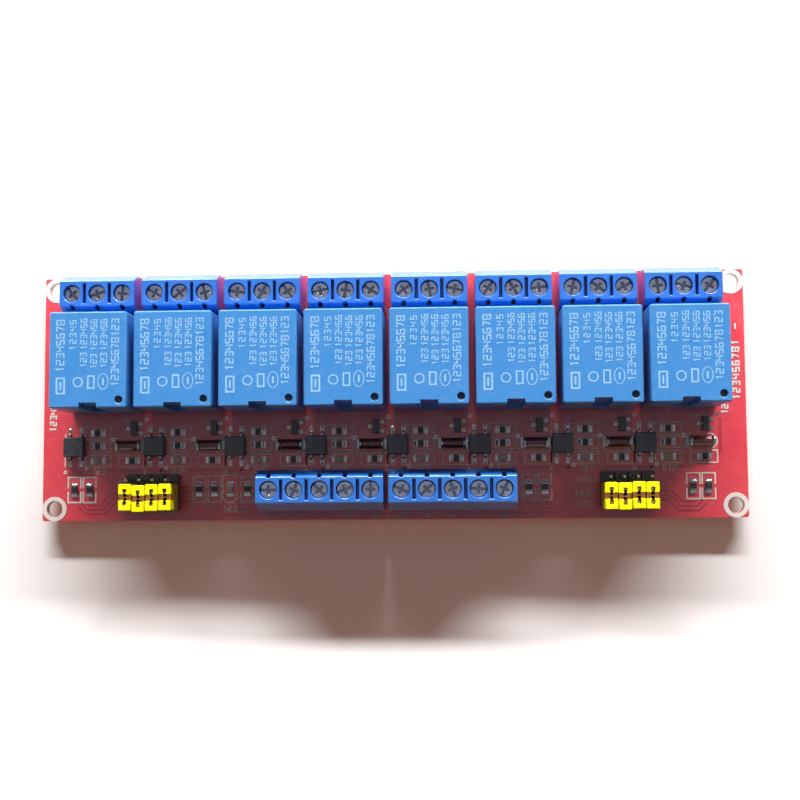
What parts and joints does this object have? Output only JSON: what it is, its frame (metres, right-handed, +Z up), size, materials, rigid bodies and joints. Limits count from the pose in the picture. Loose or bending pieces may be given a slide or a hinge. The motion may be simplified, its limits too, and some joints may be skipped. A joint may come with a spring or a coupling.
{
  "type": "relay module board",
  "caption": "Relay module board: a row of sealed relays with screw terminals along both long edges, an optocoupler drive stage in front of each relay, and trigger jumpers.",
  "frame": {"origin": "centre of the board's outline, on the plane that the tips of the longest solder pins stand on", "axes": "+X along the row of relays, +Y from the input terminals to the output terminals, +Z up from the solder side to the relays"},
  "size_m": [0.1446, 0.0506, 0.0191],
  "materials": {
    "board_red": "semi-gloss solder mask on glass-epoxy board",
    "relay_blue": "moulded, semi-gloss",
    "relay_base": "moulded, matte",
    "block_blue": "moulded, semi-gloss",
    "tinned_copper": "tinned",
    "screw_steel": "zinc plated",
    "clamp_steel": "zinc plated",
    "header_black": "moulded, matte",
    "pin_gold": "gold flash",
    "cap_yellow": "moulded, semi-gloss",
    "clip_bronze": "rolled spring bronze",
    "resin_black": "moulded resin, matte",
    "tinned_leads": "tinned",
    "diode_red": "glassy, dark",
    "resistor_black": "coated alumina",
    "lamp_white": "white ceramic",
    "lamp_clear": "cast clear resin",
    "solder": "bright solder"
  },
  "bodies": {
    "root": {"circuit_board": "board_red", "relay_bases": "relay_base", "relay_pins": "tinned_copper", "relay_cover_1": "relay_blue", "relay_cover_2": "relay_blue", "relay_cover_3": "relay_blue", "relay_cover_4": "relay_blue", "relay_cover_5": "relay_blue", "relay_cover_6": "relay_blue", "relay_cover_7": "relay_blue", "relay_cover_8": "relay_blue", "output_block_1": "block_blue", "output_block_2": "block_blue", "output_block_3": "block_blue", "output_block_4": "block_blue", "output_block_5": "block_blue", "output_block_6": "block_blue", "output_block_7": "block_blue", "output_block_8": "block_blue", "input_block_left": "block_blue", "input_block_right": "block_blue", "terminal_screws": "screw_steel", "wire_clamps": "clamp_steel", "terminal_contacts": "tinned_copper", "jumper_headers": "header_black", "header_pins": "pin_gold", "jumper_cap_1": "cap_yellow", "jumper_cap_2": "cap_yellow", "jumper_cap_3": "cap_yellow", "jumper_cap_4": "cap_yellow", "jumper_cap_5": "cap_yellow", "jumper_cap_6": "cap_yellow", "jumper_cap_7": "cap_yellow", "jumper_cap_8": "cap_yellow", "jumper_clips": "clip_bronze", "optocoupler_1": "resin_black", "optocoupler_2": "resin_black", "optocoupler_3": "resin_black", "optocoupler_4": "resin_black", "optocoupler_5": "resin_black", "optocoupler_6": "resin_black", "optocoupler_7": "resin_black", "optocoupler_8": "resin_black", "optocoupler_leads": "tinned_leads", "transistors": "resin_black", "transistor_leads": "tinned_leads", "diode_bodies": "diode_red", "diode_end_caps": "tinned_leads", "resistor_chips": "resistor_black", "resistor_end_caps": "tinned_leads", "lamp_bases": "lamp_white", "lamp_lenses": "lamp_clear", "solder_joints": "solder"}
  },
  "joints": []
}
